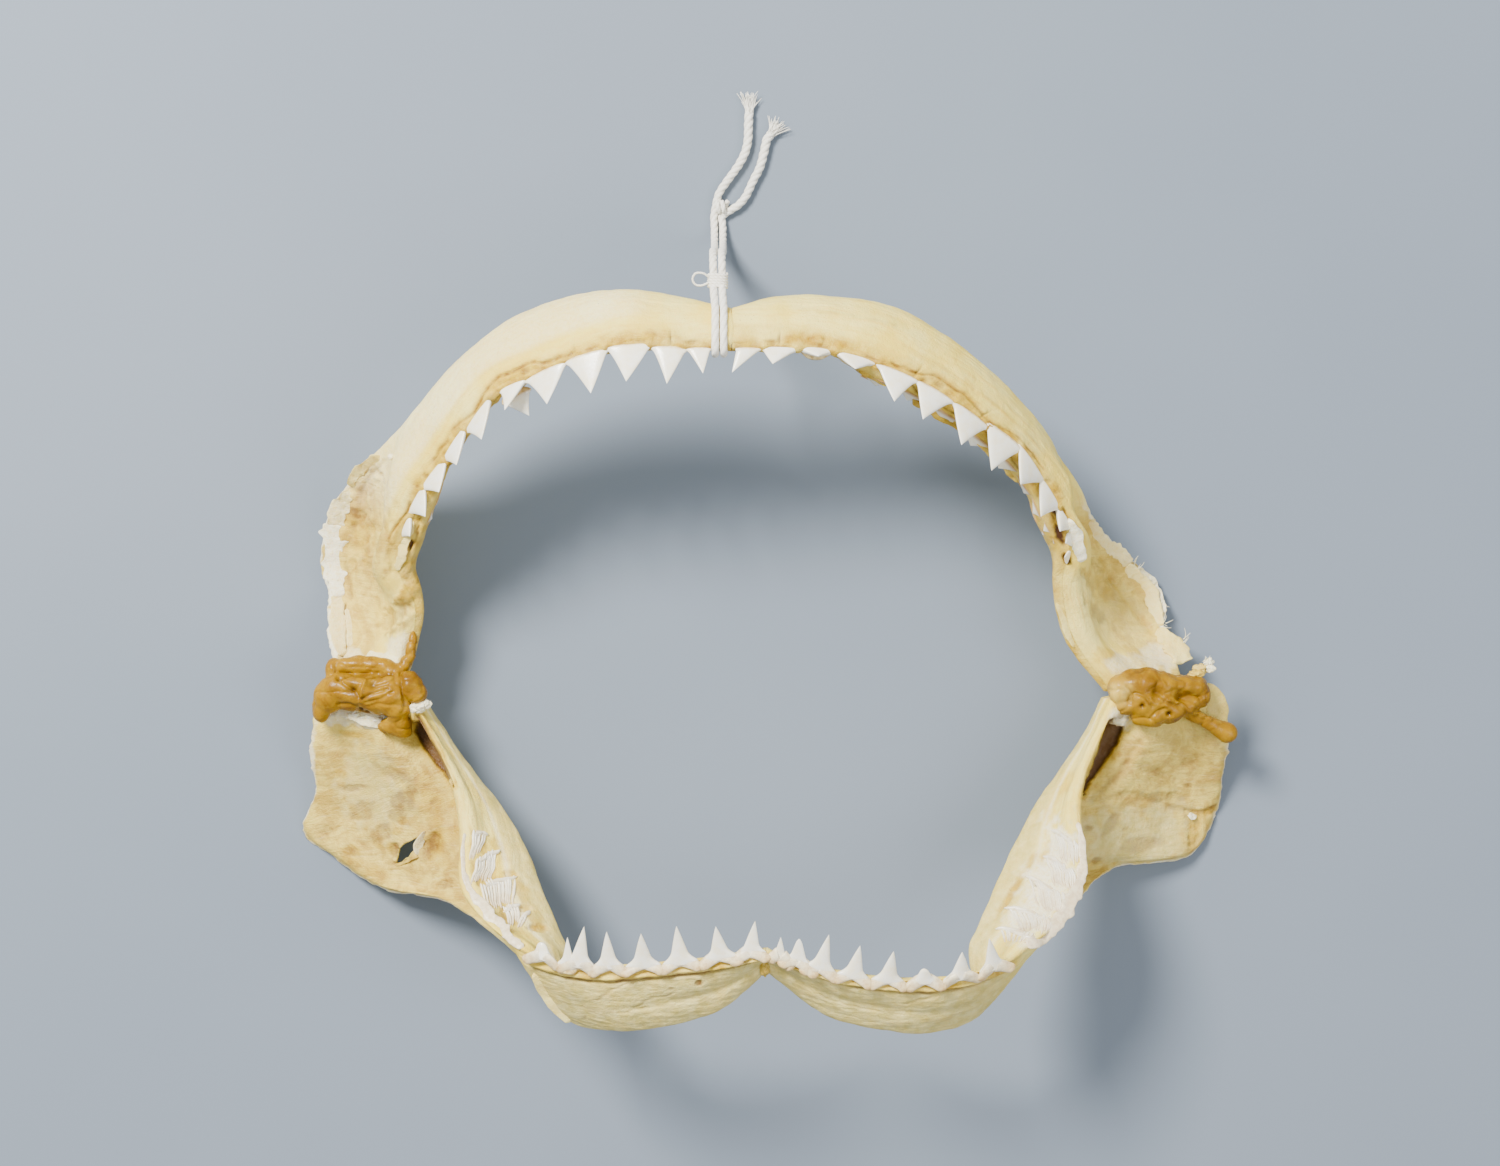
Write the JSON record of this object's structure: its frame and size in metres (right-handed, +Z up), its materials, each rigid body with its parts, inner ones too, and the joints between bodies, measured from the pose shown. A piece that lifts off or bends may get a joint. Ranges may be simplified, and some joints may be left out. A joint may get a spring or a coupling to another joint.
{
  "type": "shark jaw",
  "caption": "Dried, wide-opened jaw of a requiem shark with its teeth, set with amber resin at the jaw joints and tied with a cotton string, lying on its back.",
  "frame": {"origin": "middle of the jaw's outline in plan, at the level of the four flats it rests on (the string left out)", "axes": "+X towards the right of the picture, across the jaw; +Y from the lower jaw to the upper jaw; +Z up, out of the mouth towards the viewer"},
  "size_m": [0.3729, 0.362, 0.1084],
  "materials": {
    "cartilage": "dried cartilage, cream with ochre and brown stains, half gloss",
    "tooth": "tooth enamel, off-white, glossy, over a duller root",
    "resin": "hardened amber resin, glossy",
    "cotton": "twisted white cotton twine, matt"
  },
  "bodies": {
    "root": {"upper_jaw_left": "cartilage", "upper_jaw_right": "cartilage", "lower_jaw_left": "cartilage", "lower_jaw_right": "cartilage", "resin_left": "resin", "resin_right": "resin", "string_turn_left": "cotton", "string_turn_right": "cotton", "string_binding": "cotton", "string_fall_left": "cotton", "string_fall_right": "cotton", "string_knot": "cotton", "string_tail_left": "cotton", "string_tail_right": "cotton"}
  },
  "joints": []
}
